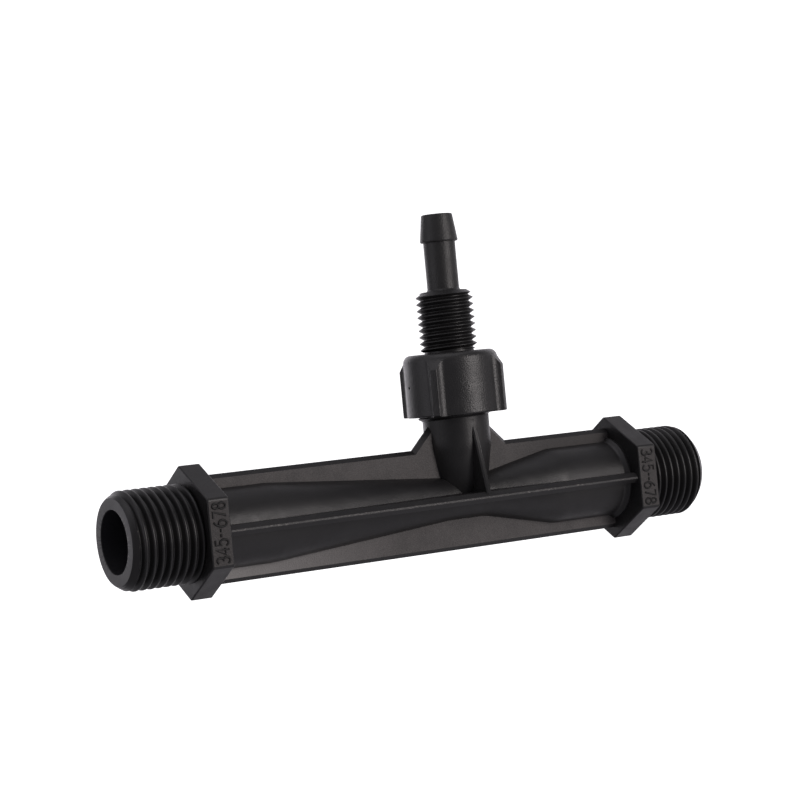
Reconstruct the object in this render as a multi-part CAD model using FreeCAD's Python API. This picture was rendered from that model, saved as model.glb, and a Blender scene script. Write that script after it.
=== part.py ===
import FreeCAD, Part
import math
import os

# Venturi fertilizer injector for a half inch water line, in millimetres.
# Frame: the origin is on the pipe axis, in the outer face of the outlet flange, where
# the outlet thread ends. X runs along the pipe towards the inlet, Z points up along
# the suction stem, and -Y is the front.
# The body, hose nipple, union nut, sealing ring and check ball are separate pieces.

Vec = FreeCAD.Vector
X_AXIS = Vec(1, 0, 0)
Z_AXIS = Vec(0, 0, 1)

# Whole body
overall_length = 146.0
suction_offset = 68.5          # outlet flange's outer face to the stem's axis
tip_height = 63.05             # pipe axis to the top of the hose barb

# Pipe thread ends, plain at the thread's major diameter
pipe_thread_d = 20.955
pipe_thread_length = 16.25
pipe_lead_length = 2.4
pipe_lead_drop = 2.1           # how far the lead cone falls below the crests
pipe_lead_round = 0.9

# Hexagon flanges
flange_across_flats = 24.5
flange_thickness = 4.9
flange_corner_r = 0.8
flange_edge_r = 0.3
collar_d = 18.7                # low collar on the barrel against each flange
collar_length = 0.7
collar_run = 0.8               # length of the slope up to the collar
collar_root_r = 1.0
collar_edge_r = 0.3

# Outside of the tube
barrel_d = 17.1
waist_d = 9.7
waist_length = 9.3
outlet_taper_length = 44.6
inlet_taper_length = 17.9
taper_blend_r = 12.0

# Water way
pipe_bore_d = 13.4
mixing_throat_d = 4.6
mixing_throat_length = 4.0
nozzle_d = 3.6
nozzle_land_length = 3.0
suction_gap = 2.6              # axial width of the annular suction chamber
suction_gap_d = 6.0

# Four long webs with a roof-shaped outer edge
web_reach = 11.5
web_thickness = 2.3
web_ridge_width = 0.4
web_edge_bevel = 0.9
web_embed = 1.2                # how far a web runs into each flange
gusset_foot = 12.2             # stem axis to the foot of the sloping gusset
gusset_slope = 1.0             # rise of the gusset over its run

# Suction stem
stem_d = 14.8
stem_foot_d = 10.8             # stem cone where it meets the pipe axis
stem_cone_top = 11.5
stem_rib_thickness = 1.2
stem_rib_ridge = 0.6
stem_rib_bevel = 0.3
stem_rib_top = 16.0
port_top = 24.8
port_thread_d = 16.6
port_thread_length = 6.4       # from the start of its run-out to the port's top
port_lead = 0.7

# Check valve chamber inside the stem
chamber_d = 9.2
chamber_floor = 14.0
suction_passage_d = 2.2
ball_stop_top = 15.0
ball_stop_height = 2.5
ball_stop_thickness = 1.0
ball_d = 6.35
ball_rest_gap = 0.05

# Sealing ring between port and nipple
seal_thickness = 2.0
seal_inner_d = 9.8
seal_outer_d = 14.8
seal_edge_r = 0.3
seal_gap = 0.05

# Hose nipple, listed from its flange upwards
nipple_flange_d = 14.8         # small enough to pass through the nut's thread
nipple_flange_thickness = 2.6
nipple_relief_d = 11.0
nipple_relief_length = 3.25
nipple_thread_d = 12.7
nipple_thread_length = 13.25
nipple_thread_lead = 0.9
nipple_thread_lead_drop = 1.3
neck_d = 7.1
neck_root_r = 0.6
barb_d = 8.5
barb_tip_d = 6.9
barb_length = 6.2
barb_edge_r = 0.35
hose_bore_d = 4.2
spigot_clearance = 0.3         # radial, spigot in chamber
spigot_length = 5.0
seat_d = 5.8                   # mouth of the cone that the ball seals on
seat_depth = 1.0

# Union nut
nut_height = 13.85
nut_d = 20.9
nut_foot_d = 21.2
nut_roof = 2.75
nut_shoulder_r = 1.7
nut_foot_r = 0.4
nut_thread_clearance = 0.15    # radial, over the port thread
nut_hole_clearance = 0.15      # radial, over the nipple thread
nut_roof_gap = 0.1
nut_mouth_lead = 0.6
grip_count = 4
grip_phase = 38.8              # degrees from +X to the first grip rib
grip_d = 24.0
grip_width = 1.5
grip_foot_width = 5.2          # where the hollow roots of a rib meet the wall
grip_flank_lean = 0.7          # how much each flank leans over its reach
grip_edge_r = 0.3
grip_top_drop = 1.4            # nut top to where a rib leaves the wall
grip_slope = 1.4               # drop of a rib's top over its reach

# Places that follow from the sizes above
pipe_thread_r = pipe_thread_d / 2
bore_r = pipe_bore_d / 2
barrel_r = barrel_d / 2
waist_r = waist_d / 2
stem_r = stem_d / 2
collar_r = collar_d / 2
outlet_end_x = -pipe_thread_length
inlet_end_x = overall_length - pipe_thread_length
outlet_barrel_x = flange_thickness
inlet_flange_x = inlet_end_x - pipe_thread_length
inlet_barrel_x = inlet_flange_x - flange_thickness
waist_outlet_x = suction_offset - waist_length / 2
waist_inlet_x = suction_offset + waist_length / 2
outlet_taper_x = waist_outlet_x - outlet_taper_length
inlet_taper_x = waist_inlet_x + inlet_taper_length
gap_outlet_x = suction_offset - suction_gap / 2
gap_inlet_x = suction_offset + suction_gap / 2
seal_top = port_top + seal_thickness
nipple_base = seal_top + seal_gap
nipple_flange_top = nipple_base + nipple_flange_thickness
nipple_thread_base = nipple_flange_top + nipple_relief_length
nipple_thread_top = nipple_thread_base + nipple_thread_length
neck_top = tip_height - barb_length
nut_roof_base = nipple_flange_top + nut_roof_gap
nut_top = nut_roof_base + nut_roof
nut_base = nut_top - nut_height
ball_centre_z = ball_stop_top + ball_rest_gap + ball_d / 2


def along_pipe(u, v):
    """Profile point: u along the pipe axis, v out from it."""
    return Vec(u, 0, v)


def up_stem(u, v):
    """Profile point: u out from the stem's axis, v up."""
    return Vec(suction_offset + u, 0, v)


def facing_pipe(u, v):
    """Section point in the plane square to the pipe axis at X = 0."""
    return Vec(0, u, v)


def rounded_wire(corners, place):
    """Closed wire through (u, v) corners; a third value rounds that corner."""
    points = [FreeCAD.Base.Vector2d(c[0], c[1]) for c in corners]
    count = len(corners)
    starts, ends, middles = [], [], []
    for i, corner in enumerate(corners):
        here = points[i]
        if len(corner) < 3:
            starts.append(here)
            ends.append(here)
            middles.append(None)
            continue
        before = points[i - 1] - here
        after = points[(i + 1) % count] - here
        before.normalize()
        after.normalize()
        half = math.acos(max(-1.0, min(1.0, before * after))) / 2
        tangent = corner[2] / math.tan(half)
        bisector = before + after
        bisector.normalize()
        starts.append(here + before * tangent)
        ends.append(here + after * tangent)
        middles.append(here + bisector * (corner[2] / math.sin(half) - corner[2]))
    edges = []
    for i in range(count):
        if middles[i] is not None:
            arc = [place(p.x, p.y) for p in (starts[i], middles[i], ends[i])]
            edges.append(Part.Arc(*arc).toShape())
        a = place(ends[i].x, ends[i].y)
        b = place(starts[(i + 1) % count].x, starts[(i + 1) % count].y)
        if a.distanceToPoint(b) > 1e-6:
            edges.append(Part.LineSegment(a, b).toShape())
    return Part.Wire(edges)


def turned_on_pipe(corners):
    """Solid of revolution about the pipe axis."""
    return Part.Face(rounded_wire(corners, along_pipe)).revolve(Vec(), X_AXIS, 360)


def turned_on_stem(corners):
    """Solid of revolution about the stem's axis."""
    face = Part.Face(rounded_wire(corners, up_stem))
    return face.revolve(Vec(suction_offset, 0, 0), Z_AXIS, 360)


def inset_outline(points, insets):
    """Move each edge of a counter-clockwise outline inwards by its own inset."""
    lines = []
    for i, inset in enumerate(insets):
        (ax, ay), (bx, by) = points[i], points[(i + 1) % len(points)]
        length = math.hypot(bx - ax, by - ay)
        nx, ny = (ay - by) / length, (bx - ax) / length
        lines.append((nx, ny, nx * ax + ny * ay + inset))
    moved = []
    for i in range(len(points)):
        a1, b1, c1 = lines[i - 1]
        a2, b2, c2 = lines[i]
        det = a1 * b2 - a2 * b1
        moved.append(((c1 * b2 - c2 * b1) / det, (a1 * c2 - a2 * c1) / det))
    return moved


def roofed_plate(points, bevelled, thickness, ridge, bevel, place):
    """Flat web whose bevelled edges slope from both faces up to a narrow ridge."""
    insets = [bevel if flag else 0.0 for flag in bevelled]
    inner = inset_outline(points, insets)
    sections = []
    for offset, outline in ((-thickness / 2, inner), (-ridge / 2, points),
                            (ridge / 2, points), (thickness / 2, inner)):
        corners = [place(u, v, offset) for u, v in outline]
        sections.append(Part.makePolygon(corners + corners[:1]))
    return Part.makeLoft(sections, True, True)


def hexagon_flange(start_x):
    """Hexagon with corners up and down, rounded corners and softened edges."""
    corner_reach = flange_across_flats / math.sqrt(3)
    corners = []
    for i in range(6):
        turn = math.radians(90 + 60 * i)
        corners.append((corner_reach * math.cos(turn), corner_reach * math.sin(turn),
                        flange_corner_r))
    face = Part.Face(rounded_wire(corners, facing_pipe))
    solid = face.extrude(Vec(flange_thickness, 0, 0))
    rims = [e for e in solid.Edges
            if e.BoundBox.XLength < flange_thickness / 2]
    solid = solid.makeFillet(flange_edge_r, rims)
    solid.translate(Vec(start_x, 0, 0))
    return solid


def tube_outside():
    """Threaded ends, barrels, long outlet taper, waist and short inlet taper."""
    lead_r = pipe_thread_r - pipe_lead_drop
    return turned_on_pipe([
        (outlet_end_x, 0),
        (outlet_end_x, lead_r, pipe_lead_round),
        (outlet_end_x + pipe_lead_length, pipe_thread_r, pipe_lead_round),
        (flange_thickness / 2, pipe_thread_r),
        (flange_thickness / 2, collar_r),
        (outlet_barrel_x + collar_length, collar_r, collar_edge_r),
        (outlet_barrel_x + collar_length + collar_run, barrel_r, collar_root_r),
        (outlet_taper_x, barrel_r, taper_blend_r),
        (waist_outlet_x, waist_r, taper_blend_r),
        (waist_inlet_x, waist_r, taper_blend_r),
        (inlet_taper_x, barrel_r, taper_blend_r),
        (inlet_barrel_x - collar_length - collar_run, barrel_r, collar_root_r),
        (inlet_barrel_x - collar_length, collar_r, collar_edge_r),
        (inlet_flange_x - flange_thickness / 2, collar_r),
        (inlet_flange_x - flange_thickness / 2, pipe_thread_r),
        (inlet_end_x - pipe_lead_length, pipe_thread_r, pipe_lead_round),
        (inlet_end_x, lead_r, pipe_lead_round),
        (inlet_end_x, 0),
    ])


def water_way():
    """Bores, diffuser, mixing throat, suction gap, nozzle and inlet cone."""
    past = 1.0
    return turned_on_pipe([
        (outlet_end_x - past, 0),
        (outlet_end_x - past, bore_r),
        (outlet_taper_x, bore_r),
        (gap_outlet_x - mixing_throat_length, mixing_throat_d / 2),
        (gap_outlet_x, mixing_throat_d / 2),
        (gap_outlet_x, suction_gap_d / 2),
        (gap_inlet_x, suction_gap_d / 2),
        (gap_inlet_x, nozzle_d / 2),
        (gap_inlet_x + nozzle_land_length, nozzle_d / 2),
        (inlet_taper_x, bore_r),
        (inlet_end_x + past, bore_r),
        (inlet_end_x + past, 0),
    ])


def upright_web():
    """Top and bottom webs in one plate, rising in a gusset each side of the stem."""
    left = outlet_barrel_x - web_embed
    right = inlet_barrel_x + web_embed
    inside = stem_r - web_thickness / 2
    peak = web_reach + (gusset_foot - inside) * gusset_slope
    points = [(left, -web_reach), (right, -web_reach), (right, web_reach),
              (suction_offset + gusset_foot, web_reach),
              (suction_offset + inside, peak), (suction_offset - inside, peak),
              (suction_offset - gusset_foot, web_reach), (left, web_reach)]
    bevelled = [True, False, True, True, False, True, True, False]
    return roofed_plate(points, bevelled, web_thickness, web_ridge_width,
                        web_edge_bevel, lambda u, v, w: Vec(u, w, v))


def level_web():
    """Front and back webs in one plate."""
    left = outlet_barrel_x - web_embed
    right = inlet_barrel_x + web_embed
    points = [(left, -web_reach), (right, -web_reach),
              (right, web_reach), (left, web_reach)]
    return roofed_plate(points, [True, False, True, False], web_thickness,
                        web_ridge_width, web_edge_bevel, lambda u, v, w: Vec(u, v, w))


def stem_ribs():
    """One rib in front of the stem and one behind, down to the level webs' ridges."""
    inside = stem_r - stem_rib_thickness
    top = stem_rib_top * (web_reach - inside) / (web_reach - stem_r)
    points = [(-web_reach, 0), (web_reach, 0), (inside, top), (-inside, top)]
    return roofed_plate(points, [False, True, False, True],
                        stem_rib_thickness, stem_rib_ridge, stem_rib_bevel,
                        lambda u, v, w: Vec(suction_offset + w, u, v))


def stem_outside():
    """Cone, round stem and the port's plain thread land."""
    thread_r = port_thread_d / 2
    thread_base = port_top - port_thread_length
    step = thread_r - stem_r
    return turned_on_stem([
        (0, 0),
        (stem_foot_d / 2, 0),
        (stem_r, stem_cone_top, taper_blend_r),
        (stem_r, thread_base),
        (thread_r, thread_base + step),
        (thread_r, port_top - port_lead),
        (thread_r - port_lead, port_top),
        (0, port_top),
    ])


def stem_inside():
    """Check valve chamber, its cone floor and the passage down to the suction gap."""
    past = 1.0
    chamber_r = chamber_d / 2
    passage_r = suction_passage_d / 2
    return turned_on_stem([
        (0, 0),
        (passage_r, 0),
        (passage_r, chamber_floor - (chamber_r - passage_r)),
        (chamber_r, chamber_floor),
        (chamber_r, port_top + past),
        (0, port_top + past),
    ])


def ball_stop():
    """Cross of two bars that holds the ball off the passage."""
    length = (chamber_d + stem_d) / 2
    low = ball_stop_top - ball_stop_height
    bars = []
    for turn in (0, 90):
        bar = Part.makeBox(length, ball_stop_thickness, ball_stop_height,
                           Vec(-length / 2, -ball_stop_thickness / 2, 0))
        bar.rotate(Vec(), Z_AXIS, turn)
        bar.translate(Vec(suction_offset, 0, low))
        bars.append(bar)
    return bars[0].fuse(bars[1])


def injector_body():
    """One moulding: tube, flanges, webs, stem and ribs, with its passages."""
    outside = tube_outside().fuse([
        hexagon_flange(0),
        hexagon_flange(inlet_barrel_x),
        upright_web(),
        level_web(),
        stem_outside(),
        stem_ribs(),
    ])
    hollow = outside.cut([water_way(), stem_inside()])
    return hollow.fuse(ball_stop()).removeSplitter()


def hose_nipple():
    """Flanged nipple with a spigot, clamp nut thread, neck and one hose barb."""
    bore_radius = hose_bore_d / 2
    thread_r = nipple_thread_d / 2
    spigot_r = chamber_d / 2 - spigot_clearance
    spigot_end = nipple_base - spigot_length
    return turned_on_stem([
        (bore_radius, spigot_end + seat_depth),
        (seat_d / 2, spigot_end),
        (spigot_r, spigot_end, nut_foot_r),
        (spigot_r, nipple_base),
        (nipple_flange_d / 2, nipple_base, barb_edge_r),
        (nipple_flange_d / 2, nipple_flange_top, barb_edge_r),
        (nipple_relief_d / 2, nipple_flange_top),
        (nipple_relief_d / 2, nipple_thread_base),
        (thread_r, nipple_thread_base),
        (thread_r, nipple_thread_top - nipple_thread_lead),
        (thread_r - nipple_thread_lead_drop, nipple_thread_top),
        (neck_d / 2, nipple_thread_top, neck_root_r),
        (neck_d / 2, neck_top),
        (barb_d / 2, neck_top, barb_edge_r),
        (barb_tip_d / 2, tip_height, barb_edge_r),
        (bore_radius, tip_height),
    ])


def grip_section():
    """Section of one grip rib, from inside the wall out, with hollow roots."""
    half = grip_width / 2
    wall = nut_d / 2
    outer = grip_d / 2
    spread = grip_foot_width / 2
    turned = math.asin(spread / wall)
    start = wall * math.cos(turned)
    root = half + grip_flank_lean
    root_height = start + (spread - root) * math.tan(turned)
    bend = math.atan2(outer - root_height, grip_flank_lean) - turned
    root_r = 0.98 * (spread - root) / math.cos(turned) / math.tan(bend / 2)
    sunk = wall - nut_shoulder_r
    return rounded_wire([
        (sunk, -spread), (start, -spread), (root_height, -root, root_r),
        (outer, -half, grip_edge_r), (outer, half, grip_edge_r),
        (root_height, root, root_r), (start, spread), (sunk, spread),
    ], lambda u, v: Vec(u, v, 0))


def union_nut():
    """Hollow nut with rounded shoulder, drafted wall and four grip ribs."""
    thread_r = port_thread_d / 2 + nut_thread_clearance
    hole_r = nipple_thread_d / 2 + nut_hole_clearance
    wall = turned_on_stem([
        (0, nut_base),
        (nut_foot_d / 2, nut_base, nut_foot_r),
        (nut_d / 2, nut_top, nut_shoulder_r),
        (0, nut_top),
    ])
    rib_top = nut_top - grip_top_drop
    reach = grip_d / 2 - nut_d / 2
    envelope = turned_on_stem([
        (0, nut_base),
        (grip_d / 2, nut_base, nut_foot_r),
        (grip_d / 2, rib_top - reach * grip_slope, nut_foot_r),
        (nut_d / 2 - nut_foot_r, rib_top + nut_foot_r * grip_slope),
        (0, rib_top + nut_foot_r * grip_slope),
    ])
    ribs = []
    for i in range(grip_count):
        rib = Part.Face(grip_section()).extrude(Vec(0, 0, nut_height))
        rib.rotate(Vec(), Z_AXIS, grip_phase + i * 360.0 / grip_count)
        rib.translate(Vec(suction_offset, 0, nut_base))
        ribs.append(rib.common(envelope))
    inside = turned_on_stem([
        (0, nut_base),
        (thread_r + nut_mouth_lead, nut_base),
        (thread_r, nut_base + nut_mouth_lead),
        (thread_r, nut_roof_base),
        (hole_r, nut_roof_base),
        (hole_r, nut_top),
        (0, nut_top),
    ])
    return wall.fuse(ribs).cut(inside).removeSplitter()


def sealing_ring():
    """Flat rubber ring on the port's top face."""
    inner, outer = seal_inner_d / 2, seal_outer_d / 2
    return turned_on_stem([
        (inner, port_top, seal_edge_r), (outer, port_top, seal_edge_r),
        (outer, seal_top, seal_edge_r), (inner, seal_top, seal_edge_r),
    ])


def check_ball():
    """Loose ball that lifts against the nipple's seat when water flows back."""
    return Part.makeSphere(ball_d / 2, Vec(suction_offset, 0, ball_centre_z))


os.makedirs("parts", exist_ok=True)
pieces = {
    "injector_body": injector_body(),
    "hose_nipple": hose_nipple(),
    "union_nut": union_nut(),
    "sealing_ring": sealing_ring(),
    "check_ball": check_ball(),
}
for name, shape in pieces.items():
    solid = shape.Solids[0] if len(shape.Solids) == 1 else shape
    print(name, "solids", len(shape.Solids), "valid", shape.isValid(),
          "volume", round(shape.Volume, 1))
    solid.exportStep("parts/" + name + ".step")
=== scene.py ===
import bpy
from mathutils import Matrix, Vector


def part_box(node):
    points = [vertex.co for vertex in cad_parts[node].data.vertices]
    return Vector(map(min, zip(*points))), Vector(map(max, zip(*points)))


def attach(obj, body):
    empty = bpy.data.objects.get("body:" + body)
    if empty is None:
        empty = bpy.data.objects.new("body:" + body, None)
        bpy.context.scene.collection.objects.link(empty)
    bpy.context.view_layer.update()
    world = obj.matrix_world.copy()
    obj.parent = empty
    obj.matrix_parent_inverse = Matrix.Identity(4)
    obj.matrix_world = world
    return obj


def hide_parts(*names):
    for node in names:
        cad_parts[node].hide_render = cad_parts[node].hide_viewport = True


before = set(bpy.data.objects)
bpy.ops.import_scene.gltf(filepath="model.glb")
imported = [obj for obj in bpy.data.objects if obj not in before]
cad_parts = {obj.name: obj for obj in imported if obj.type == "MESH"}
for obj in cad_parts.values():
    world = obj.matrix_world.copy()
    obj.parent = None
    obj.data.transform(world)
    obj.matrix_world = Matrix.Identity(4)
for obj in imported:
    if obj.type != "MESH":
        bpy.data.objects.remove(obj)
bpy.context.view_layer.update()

import math

import bmesh
import bpy
from bpy.props import (
    FloatProperty,
    FloatVectorProperty,
    IntProperty,
    PointerProperty,
    StringProperty,
)
from mathutils import Vector

bl_info = {
    "name": "Venturi fertilizer injector",
    "version": (1, 0, 0),
    "blender": (4, 5, 0),
    "location": "3D View > Sidebar > Injector",
    "description": "Threads, figures, moulded finishes and a studio for the packed injector",
    "category": "Object",
}

MM = 0.001
TURN = 2 * math.pi
HAIR = 0.02 * MM  # slack when faces are told apart by their place
SHARP_BEND = math.radians(32)  # edges that bend more than this stay sharp

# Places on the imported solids
STEM_X = sum(corner.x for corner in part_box("check_ball")) / 2
WEB_FACE = 1.15 * MM  # pipe axis to the faces of the upright webs
RIDGE_FACE = 11.5 * MM  # pipe axis to the ridges of the level webs
FLAT_FACE = 12.25 * MM  # pipe axis to the flange flats
STEM_RADIUS = 7.4 * MM
CHAMBER_RADIUS = 4.6 * MM
STEM_RIB_TOP = 16 * MM
LAND_FOOT = 18 * MM  # just below the port's plain land
PORT_TOP_RADIUS = 7.6 * MM
NIPPLE_BORE = 2.1 * MM
NIPPLE_THREAD_FOOT = 32.7 * MM
NIPPLE_THREAD_TOP = 45.95 * MM
NUT_MOUTH = 0.6 * MM  # nut's lower face to the foot of its bore
NUT_ROOF = 2.75 * MM  # top of its bore to the nut's upper face


def length(name, description, default_mm):
    """A size in metres with its default given in millimetres."""
    return FloatProperty(
        name=name,
        description=description,
        default=default_mm * MM,
        unit="LENGTH",
        precision=6,
    )


def position(name, description, default):
    """A place in metres."""
    return FloatVectorProperty(
        name=name,
        description=description,
        default=default,
        subtype="TRANSLATION",
        unit="LENGTH",
        precision=6,
    )


def degrees(name, description, default_degrees):
    return FloatProperty(
        name=name, description=description, default=math.radians(default_degrees), unit="ROTATION"
    )


def share(name, description, default):
    return FloatProperty(
        name=name, description=description, default=default, subtype="FACTOR", min=0.2, max=0.9
    )


def number(name, description, default, least):
    return IntProperty(name=name, description=description, default=default, min=least)


def colour(name, description, default):
    return FloatVectorProperty(
        name=name, description=description, default=default, subtype="COLOR", size=3, min=0, max=4
    )


# Sizes and colours


class PipeThreadSizes(bpy.types.PropertyGroup):
    """The two male pipe threads, right hand; only their end rings and leads differ."""

    pitch: length("Pitch", "Crest to crest along the pipe", 1.814)
    crest_radius: length("Crest radius", "Pipe axis to the thread's crests", 10.4775)
    depth: length("Depth", "Crest to root", 1.162)
    flank_angle: degrees("Flank angle", "Angle between a thread's two flanks", 55)
    crest_share: share("Crest share", "Part of the rounding on the crests", 0.6)
    outlet_crest: length("Outlet crest", "Place of an outlet crest at angle 0", -12.30)
    inlet_crest: length("Inlet crest", "Place of an inlet crest at angle 0", 114.75)
    set_back: length("Set-back", "How far the outlet's end face stands inside the CAD end", 0.45)
    outlet_ring: length("Outlet ring", "Outer radius of the outlet's flat end ring", 9.05)
    inlet_ring: length("Inlet ring", "Outer radius of the inlet's flat end ring", 8.0)
    outlet_lead: length("Outlet lead", "Outlet's end face to the end of its lead", 2.3)
    inlet_lead: length("Inlet lead", "Inlet's end face to the end of its lead", 2.74)
    lead_swell: length("Lead swell", "How far a lead bulges past a plain cone", 0.16)
    swell_from: length("Swell from", "Depth past the end face where the bulge starts", -0.27)
    swell_to: length("Swell to", "Depth past the end face where the bulge is full", 0.45)
    flange_radius: length("Run-out radius", "Highest the thread stands at the flange's face", 10.1)
    bore_radius: length("Bore radius", "Radius of the water way at the thread end", 6.7)
    rim_round: length("Rim rounding", "Radius of the bore's edge", 0.12)
    segments: number("Segments", "Steps round the thread", 150, 24)
    steps: number("Steps a pitch", "Rows along one pitch", 26, 6)


class PortThreadSizes(bpy.types.PropertyGroup):
    """The stem's male thread and the nut's thread that runs in it."""

    pitch: length("Pitch", "Crest to crest up the stem", 1.337)
    crest_radius: length("Crest radius", "Stem axis to the port's crests", 8.3)
    depth: length("Depth", "Crest to root", 0.88)
    flank_angle: degrees("Flank angle", "Angle between a thread's two flanks", 60)
    crest_share: share("Crest share", "Part of the rounding on the crests", 0.5)
    crest_place: length("Crest place", "Height of a crest at angle 0", 17.45)
    run_out: length("Run-out", "Height where the thread grows out of the stem", 17.55)
    run_out_length: length("Run-out length", "Rise from nothing to the full thread", 0.5)
    skin_base: length("Skin base", "Height where the thread's skin meets the plain stem", 17.1)
    clearance: length("Clearance", "Gap between the port's thread and the nut's", 0.15)
    nut_thread_top: length("Nut thread top", "Height where the nut's thread ends", 26.2)
    segments: number("Segments", "Steps round the thread", 120, 24)
    steps: number("Steps a pitch", "Rows along one pitch", 20, 6)


class NippleThreadSizes(bpy.types.PropertyGroup):
    """The hose nipple's male thread above the nut."""

    pitch: length("Pitch", "Crest to crest up the nipple", 1.4575)
    crest_radius: length("Crest radius", "Stem axis to the crests", 6.35)
    depth: length("Depth", "Crest to root", 0.95)
    flank_angle: degrees("Flank angle", "Angle between a thread's two flanks", 60)
    crest_share: share("Crest share", "Part of the rounding on the crests", 0.5)
    crest_place: length("Crest place", "Height of a crest at angle 0", 44.22)
    lead_length: length("Lead length", "Height of the lead at the thread's top", 0.9)
    lead_drop: length("Lead drop", "How far the lead draws in", 1.3)
    segments: number("Segments", "Steps round the thread", 132, 24)
    steps: number("Steps a pitch", "Rows along one pitch", 28, 6)


class FlangeFigureSizes(bpy.types.PropertyGroup):
    """Raised plain figures on the flats of both flanges."""

    figures: StringProperty(
        name="Figures",
        description="Plain running numbers, digits 3 to 8 and dashes",
        default="345--678",
    )
    middle: length("Middle", "Flange's outer face to the middle of the row", 2.45)
    height: length("Height", "Height of a figure", 2.95)
    width: length("Width", "Width of a figure", 1.4)
    advance: length("Advance", "Figure to figure", 1.8)
    dash_width: length("Dash width", "Width of a dash", 0.868)
    dash_advance: length("Dash advance", "Room for a dash", 1.05)
    stroke: length("Stroke radius", "Radius of the rounded stroke", 0.25)
    relief: length("Relief", "How far the strokes stand out of the flat", 0.23)


class BlackPlasticColours(bpy.types.PropertyGroup):
    """Tones of the moulded black plastics."""

    body_dark: colour("Body dark", "Darker patches of the smooth body", (0.0095, 0.0092, 0.0095))
    body_light: colour("Body light", "Lighter patches of the smooth body", (0.0135, 0.013, 0.0132))
    web_dark: colour("Web dark", "Pits of the sparked web faces", (0.044, 0.041, 0.040))
    web_light: colour("Web light", "Tops of the sparked web faces", (0.134, 0.126, 0.122))
    # Painted reflection: pale tone laid on the lower web faces near the outlet
    web_painted_reflection: colour("Web pale", "Lower web near the outlet", (0.30, 0.29, 0.282))
    flat_dark: colour("Flat dark", "Pits of the sparked flange flats", (0.019, 0.017, 0.016))
    flat_light: colour("Flat light", "Tops of the sparked flange flats", (0.062, 0.056, 0.054))
    # Painted light and shade: the bore's plastic is made paler for haze light and less glossy for
    # shade at its mouth
    bore_dark: colour("Bore dark", "Darker patches inside the water way", (0.016, 0.016, 0.018))
    bore_light: colour("Bore light", "Lighter patches inside the water way", (0.024, 0.024, 0.027))
    # Painted shade: figures darker than the body plastic they are moulded in
    figure: colour("Figures", "Raised figures on the flange flats", (0.007, 0.0066, 0.0064))
    # Partly real scuffs, partly a painted highlight along the ridges
    ridge_scuff_and_highlight: colour("Ridge flecks", "Scuffed flecks on the webs' ridges", (0.16, 0.15, 0.145))
    nipple_dark: colour("Nipple dark", "Darker patches of the nipple", (0.01, 0.0098, 0.0098))
    nipple_light: colour("Nipple light", "Lighter patches of the nipple", (0.015, 0.0146, 0.0144))
    nut_dark: colour("Nut dark", "Darker grain of the union nut", (0.01, 0.0098, 0.01))
    nut_light: colour("Nut light", "Lighter grain of the union nut", (0.017, 0.0165, 0.0165))
    rubber: colour("Rubber", "Sealing ring", (0.012, 0.012, 0.012))
    ball: colour("Ball", "Check ball", (0.62, 0.61, 0.58))


class NutPitSizes(bpy.types.PropertyGroup):
    """A small pit in the union nut's wall, with painted shade on its floor."""

    middle: position("Middle", "Middle of the pit", (0.05805, 0.00123, 0.02518))
    floor_radius: length("Floor radius", "Radius of the pit's dark floor", 0.28)
    edge_radius: length("Edge radius", "Radius where the pit meets the wall", 0.44)
    depth: length("Depth", "How deep the pit's relief looks", 0.2)
    # Painted shade: near-black colour of the pit's floor
    dark: colour("Dark", "Floor of the pit", (0.001, 0.001, 0.001))


class StudioSettings(bpy.types.PropertyGroup):
    """Floor, lights and camera."""

    floor_height: length("Floor height", "Height of the floor", -250.0)
    floor_radius: length("Floor radius", "Flat part of the floor", 1100.0)
    wall_height: length("Wall height", "Height of the floor's turned-up edge", 700.0)
    floor_colour: colour("Floor colour", "Pale floor", (0.86, 0.86, 0.86))
    floor_glow: FloatProperty(
        name="Floor glow", description="Light that the floor gives off", default=1.0, min=0
    )
    softbox_azimuth: degrees("Softbox azimuth", "From the front towards the inlet", 24)
    softbox_elevation: degrees("Softbox elevation", "Above the level of the pipe", 10)
    softbox_distance: length("Softbox distance", "Aim to the light", 700.0)
    softbox_aim: length("Softbox aim", "Height on the stem that the light faces", 20.0)
    softbox_width: length("Softbox width", "Width of the light", 260.0)
    softbox_height: length("Softbox height", "Height of the light", 440.0)
    softbox_power: FloatProperty(
        name="Softbox power", description="Power of the light", default=2.0, min=0, unit="POWER"
    )
    softbox_tint: colour("Softbox tint", "Colour of the light", (1.03, 0.97, 0.96))
    lens: FloatProperty(
        name="Lens", description="Focal length on a 36 mm sensor", default=100.888, unit="CAMERA"
    )
    camera_place: position(
        "Camera place", "Where the camera stands", (-0.196327, -0.422185, 0.030189)
    )
    camera_turn: FloatVectorProperty(
        name="Camera turn",
        description="The camera's XYZ Euler rotation",
        default=(1.555833, 0.094226, -0.537775),
        subtype="EULER",
        precision=6,
    )


# Mesh helpers


def smooth_between(low, high, value):
    part = min(max((value - low) / (high - low), 0.0), 1.0)
    return part * part * (3 - 2 * part)


def thread_wave(phase, sizes):
    """Height of a V thread with rounded crests and roots: 1 on a crest, 0 in a root.
    Depth and the radii of the roundings are in pitches."""
    lean = sizes.flank_angle / 2
    deep = sizes.depth / sizes.pitch
    both_radii = (0.5 / math.tan(lean) - deep) / (1 / math.sin(lean) - 1)
    crest = sizes.crest_share * both_radii
    root = both_radii - crest
    away = abs(phase - round(phase))
    if away < crest * math.cos(lean):
        return 1 - (crest - math.sqrt(crest**2 - away**2)) / deep
    if 0.5 - away < root * math.cos(lean):
        return (root - math.sqrt(root**2 - (0.5 - away) ** 2)) / deep
    drop = crest * (1 - math.sin(lean)) + (away - crest * math.cos(lean)) / math.tan(lean)
    return 1 - drop / deep


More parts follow.
